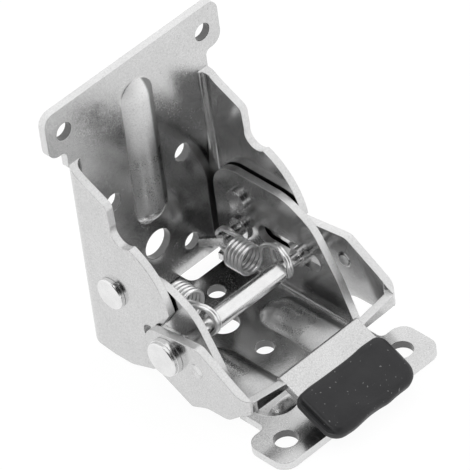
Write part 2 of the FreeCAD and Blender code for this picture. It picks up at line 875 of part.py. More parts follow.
    # long slots in both walls for the locking rod
    body = new_body("base_slots")
    sketch = new_sketch(body, "base_slot_sketch", "YZ_Plane", ("-base_half", "-sheet"))
    half_height = size("slot_half")
    middle_z = size("slot_z")
    rear = FreeCAD.Vector(size("slot_rear"), middle_z, 0)
    front = FreeCAD.Vector(size("slot_front"), middle_z, 0)
    lift = FreeCAD.Vector(0, half_height, 0)
    quarter = math.pi / 2
    rear_arc = Part.ArcOfCircle(Part.Circle(rear, normal, half_height), -quarter, quarter)
    front_arc = Part.ArcOfCircle(Part.Circle(front, normal, half_height), quarter, 3 * quarter)
    items = [
        rear_arc,
        Part.LineSegment(rear + lift, front + lift),
        front_arc,
        Part.LineSegment(front - lift, rear - lift),
    ]
    geos = []
    for item in items:
        geos.append(sketch.addGeometry(item, False))
    for index in range(4):
        after = (index + 1) % 4
        sketch.addConstraint(Sketcher.Constraint("Coincident", geos[index], 2, geos[after], 1))
    pin_point(sketch, geos[0], 3, ("slot_rear",), ("slot_z",))
    pin_point(sketch, geos[2], 3, ("slot_front",), ("slot_z",))
    for geo in (geos[0], geos[2]):
        index = sketch.addConstraint(Sketcher.Constraint("Radius", geo, half_height))
        sketch.setExpression("Constraints[" + str(index) + "]", "dims.slot_half")
    pin_point(sketch, geos[0], 1, ("slot_rear",), None)
    pin_point(sketch, geos[0], 2, ("slot_rear",), None)
    pin_point(sketch, geos[2], 1, ("slot_front",), None)
    pin_point(sketch, geos[2], 2, ("slot_front",), None)
    pad(body, "base_slots_pad", sketch, ("base_half", "base_half", "sheet", "sheet"))
    slotted = boolean("Cut", "base_slotted", drilled, body)

    # tight holes for the rivets and the spring anchors
    tools = []
    for name, radius, y, z in (
        ("base_bore", "rivet_radius", None, "hinge_z"),
        ("base_anchor_bore", "anchor_radius", "anchor_y", "anchor_z"),
    ):
        bore = doc.addObject("Part::Cylinder", name)
        bore.Placement = FreeCAD.Placement(
            FreeCAD.Vector(), FreeCAD.Rotation(FreeCAD.Vector(0, 1, 0), 90)
        )
        bind(bore, "Radius", radius)
        bind(bore, "Height", "up_half", "up_half")
        bind(bore, ".Placement.Base.x", "-up_half")
        if y is not None:
            bind(bore, ".Placement.Base.y", y)
        bind(bore, ".Placement.Base.z", z)
        tools.append(bore)
    doc.recompute()
    bores = fuse_all("base_bores", tools)
    result = boolean("Cut", "base_result", slotted, bores)
    finish(result, "base_bracket")


# Release lever and grip.


def tilted_box(name, width, low, long, thick, lift):
    # a box on the tab's slope: low and long run down the slope, lift is above the tab's top
    box = doc.addObject("Part::Box", name)
    turn = FreeCAD.Rotation(FreeCAD.Vector(1, 0, 0), size("tab_angle"))
    box.Placement = FreeCAD.Placement(FreeCAD.Vector(), turn)
    box.setExpression(".Placement.Rotation.Angle", "dims.tab_angle")
    bind(box, "Length", *(list(width) + list(width)))
    bind(box, "Width", *long)
    bind(box, "Height", *thick)
    reach = total(*(list(low) + list(long)))[0]
    raise_by = total(*lift)[0]
    side = total(*[flip(word) for word in width])[0]
    box.setExpression(".Placement.Base.x", side)
    sine = "sin(dims.tab_angle * 1 deg)"
    cosine = "cos(dims.tab_angle * 1 deg)"
    text_y = "dims.tab_y - (" + reach + ") * " + cosine + " - (" + raise_by + ") * " + sine
    text_z = "dims.tab_z - (" + reach + ") * " + sine + " + (" + raise_by + ") * " + cosine
    box.setExpression(".Placement.Base.y", text_y)
    box.setExpression(".Placement.Base.z", text_z)
    doc.recompute()
    return box


def release_lever():
    # strap seen from above: two arms joined by a bent front
    body = new_body("lever_strap")
    sketch = new_sketch(body, "lever_plan", "XY_Plane", ("lever_low",))
    out = ("lever_half",)
    inner = ("lever_half", "-lever_sheet")
    nose = ("lever_front", "-lever_nose")
    rear = ("base_rear",)
    add_outline(
        sketch,
        [
            (("-lever_half",), ("lever_front",)),
            (("-tab_half",), nose),
            (("tab_half",), nose),
            (out, ("lever_front",)),
            (out, rear),
            (inner, rear),
            (inner, ("lever_front", "lever_sheet")),
            (("tab_half",), nose + ("lever_sheet",)),
            (("-tab_half",), nose + ("lever_sheet",)),
            (("-lever_half", "lever_sheet"), ("lever_front", "lever_sheet")),
            (("-lever_half", "lever_sheet"), rear),
            (("-lever_half",), rear),
        ],
    )
    pad(body, "lever_strap_pad", sketch, ("lever_high",))
    half = size("lever_half")
    thick = size("lever_sheet")
    front = size("lever_front")
    for side in (-1, 1):
        word = "left" if side < 0 else "right"
        spot = (side * (half - thick), front + thick, 0)
        round_edges(body, "lever_inner_" + word, along("Z", spot), "lever_bend")
    for side in (-1, 1):
        word = "left" if side < 0 else "right"
        spot = (side * half, front, 0)
        round_edges(body, "lever_outer_" + word, along("Z", spot), "lever_bend_out")
    strap = body
    body = new_body("lever_side")
    sketch = new_sketch(body, "lever_side_sketch", "YZ_Plane", ("-lever_half",))
    add_outline(sketch, side_points("lever", LEVER_SIDE))
    pad(body, "lever_side_pad", sketch, ("lever_half", "lever_half"))
    round_side(body, "lever", LEVER_SIDE)
    arms = boolean("Common", "lever_arms", strap, body)

    # the front is cut down to a narrow strip that falls towards the tab
    body = new_body("lever_window")
    sketch = new_sketch(body, "lever_window_sketch", "XZ_Plane", ("-lever_front", "-lever_bend_out"))
    corner = []
    for side in ("-", ""):
        half = [
            ((side + "strip_half",), ()),
            ((side + "strip_half",), ("strip_low",)),
            ((side + "strip_mid",), ("strip_end_low",)),
            ((side + "strip_end",), ("strip_end_low",)),
            ((side + "strip_end",), ("strip_end_top",)),
            ((side + "strip_half",), ("strip_top",)),
            ((side + "strip_half",), ("lever_high",)),
        ]
        if side:
            half.reverse()
        corner.extend(half)
    add_outline(sketch, corner)
    pad(body, "lever_window_pad", sketch, ("lever_bend_out", "lever_bend_out", "lever_bend_out"))
    open_arms = boolean("Cut", "lever_open", arms, body)
    tab_down = ("-lever_sheet",)
    tab_thick = ("lever_sheet",)
    tab = tilted_box("lever_tab", ("tab_half",), (), ("tab_wide_len",), tab_thick, tab_down)
    tip = tilted_box("lever_tip", ("tab_tip_half",), (), ("tab_len",), tab_thick, tab_down)
    brow = doc.addObject("Part::Cylinder", "lever_tab_bend")
    brow.Placement = FreeCAD.Placement(
        FreeCAD.Vector(), FreeCAD.Rotation(FreeCAD.Vector(0, 1, 0), 90)
    )
    bind(brow, "Radius", "tab_brow")
    bind(brow, "Height", "tab_half", "tab_half")
    bind(brow, ".Placement.Base.x", "-tab_half")
    lean_y = "dims.tab_y + dims.tab_brow * sin(dims.tab_angle * 1 deg)"
    lean_z = "dims.tab_z - dims.tab_brow * cos(dims.tab_angle * 1 deg)"
    brow.setExpression(".Placement.Base.y", lean_y)
    brow.setExpression(".Placement.Base.z", lean_z)
    doc.recompute()
    plate = fuse_all("lever_plate", [tab, tip])
    joined = fuse_all("lever_joined", [open_arms, plate, brow])

    # holes for the rod, and a small pip pressed inwards in each arm
    bore = doc.addObject("Part::Cylinder", "lever_bore")
    bore.Placement = FreeCAD.Placement(
        FreeCAD.Vector(), FreeCAD.Rotation(FreeCAD.Vector(0, 1, 0), 90)
    )
    bind(bore, "Radius", "rod_radius", "slip")
    bind(bore, "Height", "lever_half", "lever_half", "sheet", "sheet")
    bind(bore, ".Placement.Base.x", "-lever_half", "-sheet")
    bind(bore, ".Placement.Base.y", "lock_y")
    bind(bore, ".Placement.Base.z", "lock_z")
    doc.recompute()
    bored = boolean("Cut", "lever_bored", joined, bore)
    pips = []
    dents = []
    for side in ("", "-"):
        word = "left" if side else "right"
        face = (side + "lever_half",)
        inside = face + (flip(side + "lever_sheet"), flip(side + "pip_out"))
        middle = inside + (side + "pip_crown",)
        for kind, shift, found in (
            ("pip", (), pips),
            ("dent", (side + "lever_sheet",), dents),
        ):
            ball = doc.addObject("Part::Sphere", "lever_" + kind + "_" + word)
            bind(ball, "Radius", "pip_crown")
            bind(ball, ".Placement.Base.x", *(middle + shift))
            bind(ball, ".Placement.Base.y", "pip_y")
            bind(ball, ".Placement.Base.z", "pip_z")
            found.append(ball)
    doc.recompute()
    # only the inner cap of each ball is metal
    keep = doc.addObject("Part::Box", "lever_pip_keep")
    bind(keep, "Length", "lever_half", "lever_half", "-lever_sheet", "-lever_sheet", "slip")
    bind(keep, "Width", "pip_half", "pip_half", "pip_half", "pip_half")
    bind(keep, "Height", "lever_high")
    bind(keep, ".Placement.Base.x", "-lever_half", "lever_sheet", "-slip")
    bind(keep, ".Placement.Base.y", "pip_y", "-pip_half", "-pip_half")
    doc.recompute()
    caps = boolean("Common", "lever_caps", fuse_all("lever_pips", pips), keep)
    bumped = fuse_all("lever_bumped", [bored, caps])
    hollow = fuse_all("lever_dents", dents)
    result = boolean("Cut", "lever_result", bumped, hollow)
    finish(result, "release_lever")
    return plate


def lever_grip(tab):
    block = tilted_box(
        "grip_block",
        ("grip_half",),
        ("grip_from",),
        ("grip_len",),
        ("grip_thick",),
        ("grip_rise", "-grip_thick"),
    )
    corners = []
    rims = []
    up = block.Placement.Rotation.multVec(FreeCAD.Vector(0, 0, 1))
    middle_y = block.Shape.BoundBox.Center.y
    for index, edge in enumerate(block.Shape.Edges, start=1):
        way = (edge.Vertexes[1].Point - edge.Vertexes[0].Point).normalize()
        radius = size("grip_corner")
        if edge.Vertexes[0].Point.y > middle_y:
            radius = size("grip_corner_rear")
        if abs(way.dot(up)) > 0.9:
            corners.append((index, radius, radius))
    soft = doc.addObject("Part::Fillet", "grip_corners")
    soft.Base = block
    soft.Edges = corners
    doc.recompute()
    for index, edge in enumerate(soft.Shape.Edges, start=1):
        ends = edge.Vertexes
        way = ends[-1].Point - ends[0].Point
        flat = abs(way.dot(up)) < 1e-4
        if flat:
            rims.append((index, size("grip_edge"), size("grip_edge")))
    round_block = doc.addObject("Part::Fillet", "grip_round")
    round_block.Base = soft
    round_block.Edges = rims
    doc.recompute()
    result = boolean("Cut", "grip_result", round_block, tab)
    finish(result, "lever_grip")


# Turned pieces.


def turned(name, steps, spot, rims=()):
    # steps: (from, to, radius) along X, each a list of names
    # rims: (x sum, radius sum, edge name) of the rims that are rounded
    body = new_body(name + "_turned")
    sketch = new_sketch(body, name + "_profile", "XZ_Plane")
    points = [(steps[0][0], ())]
    for low, high, radius in steps:
        points.append((low, radius))
        points.append((high, radius))
    points.append((steps[-1][1], ()))
    add_outline(sketch, points)
    revolve(body, name + "_turn", sketch)
    for index, (where, radius, edge_name) in enumerate(rims):
        rim = circle_at(total(*where)[1], total(*radius)[1])
        round_edges(body, name + "_rim_" + str(index), rim, edge_name)
    if spot[0] is not None:
        bind(body, ".Placement.Base.y", *spot[0])
    bind(body, ".Placement.Base.z", *spot[1])
    doc.recompute()
    return body


def circle_at(x, radius):
    # picks the circular edge of that radius round the X axis at the place x
    def test(edge):
        if edge.Curve.TypeId != "Part::GeomCircle":
            return False
        if abs(edge.Curve.Radius - radius) > 1e-4:
            return False
        return abs(edge.Curve.Center.x - x) < 1e-4

    return test


def ring(name, radius, bore, low, long, spot):
    outer = doc.addObject("Part::Cylinder", name + "_disc")
    inner = doc.addObject("Part::Cylinder", name + "_bore")
    for item, word in ((outer, radius), (inner, bore)):
        item.Placement = FreeCAD.Placement(
            FreeCAD.Vector(), FreeCAD.Rotation(FreeCAD.Vector(0, 1, 0), 90)
        )
        bind(item, "Radius", *word)
        bind(item, "Height", *long)
        bind(item, ".Placement.Base.x", *low)
        bind(item, ".Placement.Base.y", *spot[0])
        bind(item, ".Placement.Base.z", *spot[1])
    doc.recompute()
    return boolean("Cut", name + "_ring", outer, inner)


def negative(names):
    return tuple(flip(word) for word in names)


def hinge_rivets():
    wall = ("wall_in",)
    stub = ("wall_in", "-rivet_stub_out")
    face = ("up_half", "slip")
    for left in (False, True):
        word = "left" if left else "right"
        cap = ("up_half", "slip", "rivet_cap")
        steps = [
            (stub, wall, ("rivet_stub",)),
            (wall, face, ("rivet_radius",)),
            (face, cap, ("rivet_head",)),
        ]
        if left:
            steps = [(negative(high), negative(low), wide) for low, high, wide in steps]
            steps.reverse()
            cap = negative(cap)
        rims = [(cap, ("rivet_head",), "rivet_edge")]
        body = turned("hinge_rivet_" + word, steps, (None, ("hinge_z",)), rims)
        finish(body, "hinge_rivet_" + word)


def spring_anchors():
    # a flanged pin in each wall, whose flattened end is bent to the rear
    ring_end = ("wall_in", "-anchor_ring_thick")
    tip = ("wall_in", "-anchor_out")
    for left in (False, True):
        word = "left" if left else "right"
        steps = [
            (tip, ring_end, ("anchor_radius",)),
            (ring_end, ("wall_in",), ("anchor_ring",)),
            (("wall_in",), ("base_half",), ("anchor_radius",)),
        ]
        if left:
            steps = [(negative(high), negative(low), wide) for low, high, wide in steps]
            steps.reverse()
        body = turned("spring_anchor_" + word, steps, (("anchor_y",), ("anchor_z",)))
        tail = doc.addObject("Part::Box", "anchor_tail_" + word)
        bind(tail, "Length", "tail_long")
        bind(tail, "Width", "tail_half", "tail_half")
        bind(tail, "Height", "tail_high")
        turn = "dims.tail_angle * 1 deg"
        start = ("wall_in", "-anchor_out", "tail_half")
        if left:
            start = negative(start)
        else:
            turn = "180 deg - " + turn
        angle = size("tail_angle") if left else 180.0 - size("tail_angle")
        tail.Placement = FreeCAD.Placement(
            FreeCAD.Vector(), FreeCAD.Rotation(FreeCAD.Vector(0, 0, 1), angle)
        )
        tail.setExpression(".Placement.Rotation.Angle", turn)
        place_x = total(*start)[0] + " + dims.tail_half * sin(" + turn + ")"
        place_y = "dims.anchor_y - dims.tail_half * cos(" + turn + ")"
        tail.setExpression(".Placement.Base.x", place_x)
        tail.setExpression(".Placement.Base.y", place_y)
        tail.setExpression(".Placement.Base.z", "dims.anchor_z - 0.5 * dims.tail_high")
        doc.recompute()
        pin = fuse_all("spring_anchor_whole_" + word, [body, tail])
        finish(pin, "spring_anchor_" + word)


def lock_rod():
    # headed on the left over a thick washer, and peened on the right over a small one
    spot = (("lock_y",), ("lock_z",))
    head = ("lever_half", "slip", "washer_thick")
    head_end = head + ("head_thick",)
    peen = ("lever_half", "slip", "peen_washer_thick")
    peen_end = peen + ("peen_thick",)
    rod = ("rod_radius",)
    collar = ("collar_radius",)
    steps = [
        (negative(head_end), negative(head), ("head_radius",)),
        (negative(head), ("-collar_to",), rod),
        (("-collar_to",), ("-collar_from",), collar),
        (("-collar_from",), ("collar_from",), rod),
        (("collar_from",), ("collar_to",), collar),
        (("collar_to",), peen, rod),
        (peen, peen_end, ("peen_radius",)),
    ]
    rims = [
        (negative(head_end), ("head_radius",), "head_edge"),
        (peen_end, ("peen_radius",), "head_edge"),
    ]
    body = turned("lock_rod", steps, spot, rims)
    finish(body, "lock_rod")
    sleeve = ring(
        "sleeve",
        ("sleeve_radius",),
        ("rod_radius", "slip"),
        ("-sleeve_half",),
        ("sleeve_half", "sleeve_half"),
        spot,
    )
    finish(sleeve, "rod_sleeve")
    for word, low, radius, thick in (
        ("left", ("-lever_half", "-slip", "-washer_thick"), "washer_radius", "washer_thick"),
        ("right", ("lever_half", "slip"), "peen_washer", "peen_washer_thick"),
    ):
        bore = ("rod_radius", "slip")
        washer = ring("washer_" + word, (radius,), bore, low, (thick,), spot)
        finish(washer, "rod_washer_" + word)


# Springs.


def spring(word, side):
    # a close-wound coil drawn as one ribbed tube, with a double loop at each end
    body = new_body("coil_" + word)
    sketch = new_sketch(body, "coil_profile_" + word, "XY_Plane")
    turns = int(size("coil_turns"))
    points = [
        (("coil_radius", "-wire"), ("coil_rear",)),
        (("coil_radius",), ("coil_rear",)),
    ]
    across = ("coil_rear",)
    for index in range(turns):
        across = across + ("-half_pitch",)
        points.append((("coil_radius", "wire"), across))
        across = across + ("-half_pitch",)
        points.append((("coil_radius",), across))
    points.append((("coil_radius", "-wire"), across))
    add_outline(sketch, points)
    revolve(body, "coil_turn_" + word, sketch, "V_Axis")
    bind(body, ".Placement.Base.x", side + "coil_x")
    bind(body, ".Placement.Base.z", "coil_z")
    doc.recompute()
    pieces = [body]
    low = ("loop_x", "-wire")
    if side:
        low = ("-loop_x", "wire", "-loop_wide")
    for end in ("front", "rear"):
        loop = ring(
            "loop_" + end + "_" + word,
            ("loop_radius", "wire"),
            ("loop_radius", "-wire"),
            low,
            ("loop_wide",),
            (("loop_" + end + "_y",), ("loop_" + end + "_z",)),
        )
        pieces.append(loop)
    # short straight wires that join the coil to its loops
    for end in ("front", "rear"):
        link = doc.addObject("Part::Cylinder", "link_" + end + "_" + word)
        turn = FreeCAD.Rotation(FreeCAD.Vector(1, 0, 0), 90)
        link.Placement = FreeCAD.Placement(FreeCAD.Vector(), turn)
        bind(link, "Radius", "wire")
        bind(link, "Height", "link_long")
        bind(link, ".Placement.Base.x", side + "link_x")
        bind(link, ".Placement.Base.y", "link_" + end + "_y")
        bind(link, ".Placement.Base.z", "link_z")
        pieces.append(link)
    doc.recompute()
    result = fuse_all("spring_" + word + "_fused", pieces)
    finish(result, "spring_" + word)


# Worked-out sizes.

set_size("rib_crown", crown(size("rib_half"), size("rib_out")))
set_size("bead_crown", crown(size("bead_half"), size("bead_up")))
set_size("pip_crown", crown(size("pip_half"), size("pip_out")))
set_size("half_pitch", 0.5 * size("coil_pitch"))
coil_front = size("coil_rear") - size("coil_pitch") * size("coil_turns")
set_size("link_front_y", coil_front + size("wire"))
set_size("link_rear_y", size("coil_rear") + size("link_long") - size("wire"))
doc.recompute()

RIB_SPOT = ((), ("web_back", "-sheet", "-rib_out", "rib_crown"))

upright_bracket()
base_bracket()
tab = release_lever()
lever_grip(tab)
hinge_rivets()
spring_anchors()
lock_rod()
spring("right", "")
spring("left", "-")

doc.recompute()
for item in doc.Objects:
    if "Invalid" in item.State or "Error" in item.State:
        raise RuntimeError(item.Name + " failed")
for node, item in finished:
    shape = item.Shape
    if shape.isNull() or not shape.isValid():
        raise RuntimeError(node + " has no valid shape")
    if len(shape.Solids) != 1:
        raise RuntimeError(node + " has " + str(len(shape.Solids)) + " solids")
for node, item in finished:
    item.Shape.exportStep("parts/" + node + ".step")
    box = item.Shape.BoundBox
    print(node, round(item.Shape.Volume), [round(v, 1) for v in (
        box.XMin, box.XMax, box.YMin, box.YMax, box.ZMin, box.ZMax)])
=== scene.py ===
import math

import bmesh
import bpy
from mathutils import Matrix, Vector


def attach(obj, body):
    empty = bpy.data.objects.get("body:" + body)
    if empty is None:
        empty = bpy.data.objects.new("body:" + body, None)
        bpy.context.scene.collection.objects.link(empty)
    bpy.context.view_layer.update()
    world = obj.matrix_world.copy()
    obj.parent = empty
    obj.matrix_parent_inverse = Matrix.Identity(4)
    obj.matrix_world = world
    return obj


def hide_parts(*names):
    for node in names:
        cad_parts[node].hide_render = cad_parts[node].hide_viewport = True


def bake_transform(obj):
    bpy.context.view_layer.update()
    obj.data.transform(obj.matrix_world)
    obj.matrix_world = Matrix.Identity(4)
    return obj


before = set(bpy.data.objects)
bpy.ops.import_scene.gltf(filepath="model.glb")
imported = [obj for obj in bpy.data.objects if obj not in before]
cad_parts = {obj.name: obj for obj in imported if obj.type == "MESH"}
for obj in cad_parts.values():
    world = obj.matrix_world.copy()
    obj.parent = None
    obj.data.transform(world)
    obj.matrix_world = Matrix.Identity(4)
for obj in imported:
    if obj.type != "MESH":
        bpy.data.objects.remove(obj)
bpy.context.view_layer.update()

MM = 0.001


# Nodes that the materials are made of.

NOISE_LOW = 0.3  # a noise seldom leaves this range
NOISE_HIGH = 0.7
CREVICE_LEVEL = (0.1, 0.55)  # openness of a closed corner and of an open face
CREVICE_SAMPLES = 12
BEVEL_SAMPLES = 6


def new_material(name):
    material = bpy.data.materials.new(name)
    material.use_nodes = True
    tree = material.node_tree
    shader = tree.nodes["Principled BSDF"]
    return material, tree, shader


def node(tree, kind, sockets=None, **settings):
    # a node with constants on its input sockets and with its own settings
    made = tree.nodes.new(kind)
    for key, value in settings.items():
        setattr(made, key, value)
    for key, value in (sockets or {}).items():
        made.inputs[key].default_value = value
    return made


def noise(tree, scale, detail, stretch=(1, 1, 1), rough=0.5):
    # a noise in object space; scale is in cells per metre
    place = node(tree, "ShaderNodeTexCoord")
    mapping = node(tree, "ShaderNodeMapping", {"Scale": stretch})
    tree.links.new(place.outputs["Object"], mapping.inputs["Vector"])
    sockets = {"Scale": scale, "Detail": detail, "Roughness": rough}
    made = node(tree, "ShaderNodeTexNoise", sockets)
    tree.links.new(mapping.outputs["Vector"], made.inputs["Vector"])
    return made.outputs["Fac"]


def ramp(tree, source, stops):
    # stops are places with a colour or a grey each
    made = node(tree, "ShaderNodeValToRGB")
    tree.links.new(source, made.inputs["Fac"])
    elements = made.color_ramp.elements
    while len(elements) < len(stops):
        elements.new(0.5)
    for element, (place, value) in zip(elements, stops):
        element.position = place
        if isinstance(value, (int, float)):
            value = (value, value, value, 1)
        element.color = value
    return made.outputs["Color"]


def spread(tree, source, low, high, start=NOISE_LOW, end=NOISE_HIGH):
    # start..end of the source becomes low..high
    sockets = {"From Min": start, "From Max": end, "To Min": low, "To Max": high}
    made = node(tree, "ShaderNodeMapRange", sockets)
    tree.links.new(source, made.inputs["Value"])
    return made.outputs["Result"]


def join_math(tree, operation, *values):
    # one operation on one or two values, each a socket or a number
    made = node(tree, "ShaderNodeMath", operation=operation)
    for socket, value in zip(made.inputs, values):
        if isinstance(value, (int, float)):
            socket.default_value = value
        else:
            tree.links.new(value, socket)
    return made.outputs["Value"]


def chain(tree, operation, values):
    # one operation over any number of values
    result = values[0]
    for value in values[1:]:
        result = join_math(tree, operation, result, value)
    return result


def product(tree, *values):
    return chain(tree, "MULTIPLY", values)


def total(tree, *values):
    return chain(tree, "ADD", values)


def bumped(tree, shader, height, strength, distance, edge=0.0):
    # the grain's bump, over a rounded look on the edges where a radius is given
    bump = node(tree, "ShaderNodeBump", {"Strength": strength, "Distance": distance})
    tree.links.new(height, bump.inputs["Height"])
    if edge > 0.0:
        bevel = node(tree, "ShaderNodeBevel", {"Radius": edge}, samples=BEVEL_SAMPLES)
        tree.links.new(bevel.outputs["Normal"], bump.inputs["Normal"])
    tree.links.new(bump.outputs["Normal"], shader.inputs["Normal"])


def crevice_shade(tree, reach, darkest):
    # painted shade: 1 in the open, falling where another surface is nearer than the reach
    sockets = {"Distance": reach}
    shade = node(tree, "ShaderNodeAmbientOcclusion", sockets, samples=CREVICE_SAMPLES)
    return spread(tree, shade.outputs["AO"], darkest, 1.0, *CREVICE_LEVEL)


# Masks: values that are 1 on a part of the surface and 0 elsewhere.

SHARP = 0.0001  # half the width of a sharp mask's edge, in metres


def over(tree, source, level, soft=SHARP):
    # 1 over the level and 0 under it
    return spread(tree, source, 0.0, 1.0, level - soft, level + soft)


def under(tree, source, level, soft=SHARP):
    # 1 under the level and 0 over it
    return spread(tree, source, 1.0, 0.0, level - soft, level + soft)


def all_of(tree, *masks):
    return chain(tree, "MULTIPLY", masks)


def any_of(tree, *masks):
    return chain(tree, "MAXIMUM", masks)


def opposite(tree, mask):
    return join_math(tree, "SUBTRACT", 1.0, mask)


def near(tree, a, b, disc):
    # within a disc (its middle on both coordinates, its radius)
    middle_a, middle_b, radius = disc
    across = join_math(tree, "SUBTRACT", a, middle_a)
    along = join_math(tree, "SUBTRACT", b, middle_b)
    squares = total(tree, product(tree, across, across), product(tree, along, along))
    return under(tree, join_math(tree, "SQRT", squares), radius)


def tinted(tree, mask, factor):
    # 1 outside the mask and the factor inside it
    return spread(tree, mask, 1.0, factor, 0.0, 1.0)


def own_place(tree):
    # a surface point and its normal in the object's space, each as x, y and z
    spot = node(tree, "ShaderNodeTexCoord")
    result = []
    for word in ("Object", "Normal"):
        parts = node(tree, "ShaderNodeSeparateXYZ")
        tree.links.new(spot.outputs[word], parts.inputs["Vector"])
        result.append([parts.outputs[axis] for axis in "XYZ"])
    return result


# Where the plates' sheared edges and pressed forms lie, in metres: X is a distance
# from the middle plane, and a hole is its middle and its radius, with a little room.

ACROSS = 0.55  # a face whose normal is under this along an axis lies across that axis
ACROSS_SOFT = 0.1
SHADE_FLANK = 0.32  # a face whose normal is over this along x faces right and gets painted shade on the pressed forms
SHADE_FLANK_SOFT = 0.06

BASE_WALL_X = 0.0197  # the walls' sheet lies outside this
BASE_WALL_Z = 0.0042  # and starts over the bend
BASE_FLOOR_X = 0.0180  # the floor's holes lie inside this
BASE_FLOOR_Z = 0.0023  # top of the floor
FEET_Y = -0.0400  # the feet lie ahead of this
FOOT_HOLE = (0.0207, -0.0536, 0.0036)  # by distance from the middle plane and y
BEADS_X = (0.0060, 0.0178)
BEADS_Y = -0.0440  # the beads end here in front
BEADS_Z = 0.0027  # and stand over this
BEADS_SOFT = 0.0003
BEAD_HIGHLIGHT_Y = -0.0350  # their painted highlights lie ahead of this
BEAD_HIGHLIGHT_SOFT = 0.004

UPRIGHT_WALL_X = 0.0225  # the walls' sheet lies outside this
UPRIGHT_WALL_Y = 0.0080  # and ends before the bend
WEB_Y = 0.0098  # the web and the head lie behind this
WEB_HOLES_X = 0.0165  # the web's holes lie inside this
WEB_HOLES_Z = 0.0430  # and under this
HEAD_Z = 0.0590  # the head lies over this
HEAD_HOLE = (0.0241, 0.0710, 0.0029)  # by distance from the middle plane and z
RIB_X = 0.0056
RIB_Y = 0.0100  # the rib stands out ahead of this
RIB_Z = 0.0300  # and over this
RIB_HIGHLIGHT_Z = 0.0575  # its painted highlight lies over this
RIB_HIGHLIGHT_SOFT = 0.0105

ARM_X = 0.0252  # the lever's arms lie outside this
STRIP_X = 0.0142  # the corners of its front strip lie outside this
STRIP_Y = -0.0446  # and ahead of this
STRIP_UP = 0.6  # with faces whose normal is over this along z
PIP_HIGHLIGHT = (-0.0315, 0.0172, 0.0015)  # the pips' tops with a painted highlight, by y and z
PIP_SHADE_RING = (-0.0311, 0.0170, 0.0021)  # with the rings of painted shade round them


def sheared_edges(tree, name):
    # where a plate's sheared edges are: (cut rims, walls of the holes)
    (x, y, z), normal = own_place(tree)
    wide = join_math(tree, "ABSOLUTE", x)
    across, along, level = [
        under(tree, join_math(tree, "ABSOLUTE", part), ACROSS, ACROSS_SOFT)
        for part in normal
    ]
    if name == "base_bracket":
        in_wall = over(tree, wide, BASE_WALL_X)
        walls = all_of(tree, across, in_wall, over(tree, z, BASE_WALL_Z))
        flat = all_of(tree, level, under(tree, z, BASE_FLOOR_Z))
        bored = near(tree, wide, y, FOOT_HOLE)
        feet = all_of(tree, flat, under(tree, y, FEET_Y), opposite(tree, bored))
        floor = all_of(tree, over(tree, y, FEET_Y), under(tree, wide, BASE_FLOOR_X))
        holes = all_of(tree, flat, any_of(tree, floor, bored))
        return any_of(tree, walls, feet), holes
    if name == "upright_bracket":
        in_wall = over(tree, wide, UPRIGHT_WALL_X)
        walls = all_of(tree, across, in_wall, under(tree, y, UPRIGHT_WALL_Y))
        web = all_of(tree, along, over(tree, y, WEB_Y))
        bored = near(tree, wide, z, HEAD_HOLE)
        head = all_of(tree, web, over(tree, z, HEAD_Z), opposite(tree, bored))
        low = all_of(tree, under(tree, z, WEB_HOLES_Z), under(tree, wide, WEB_HOLES_X))
        holes = all_of(tree, web, any_of(tree, low, bored))
        return any_of(tree, walls, head), holes
    arms = all_of(tree, across, over(tree, wide, ARM_X))
    faces_up = over(tree, normal[2], STRIP_UP)
    strip = all_of(tree, over(tree, wide, STRIP_X), under(tree, y, STRIP_Y), faces_up)
    return any_of(tree, arms, strip), None


def pressed_forms(tree, name):
    # the rib, the beads and the pips: (raised places, their crests for a painted highlight,
    # their right flanks for painted shade, or the ring of painted shade round a pip)
    (x, y, z), normal = own_place(tree)
    if name == "release_lever":
        # the pips' tops take a painted highlight and the rings round them painted shade
        pip_highlight = near(tree, y, z, PIP_HIGHLIGHT)
        pip_shade_ring = all_of(tree, near(tree, y, z, PIP_SHADE_RING), opposite(tree, pip_highlight))
        pip_shade_ring = all_of(tree, pip_shade_ring, over(tree, x, 0.0))  # on the right arm only
        return pip_highlight, pip_highlight, pip_shade_ring
    wide = join_math(tree, "ABSOLUTE", x)
    if name == "upright_bracket":
        in_rib = all_of(tree, under(tree, wide, RIB_X), under(tree, y, RIB_Y))
        raised = all_of(tree, in_rib, over(tree, z, RIB_Z))
        highlight_crest = all_of(tree, raised, over(tree, z, RIB_HIGHLIGHT_Z, RIB_HIGHLIGHT_SOFT))
    else:
        in_bead = all_of(tree, over(tree, wide, BEADS_X[0]), under(tree, wide, BEADS_X[1]))
        in_bead = all_of(tree, in_bead, over(tree, z, BEADS_Z, BEADS_SOFT))
        raised = all_of(tree, in_bead, over(tree, y, BEADS_Y))
        highlight_crest = all_of(tree, raised, under(tree, y, BEAD_HIGHLIGHT_Y, BEAD_HIGHLIGHT_SOFT))
    # right-facing flanks that take painted shade
    shaded_flank = over(tree, normal[0], SHADE_FLANK, SHADE_FLANK_SOFT)
    return raised, highlight_crest, all_of(tree, raised, shaded_flank)


# Materials. A tone is a share of white and a tint a factor on it. ROUGH is a range
# of roughness, or what a place adds to it; a crevice shade is its reach and the darkest tint
# of its painted shade in corners and gaps.

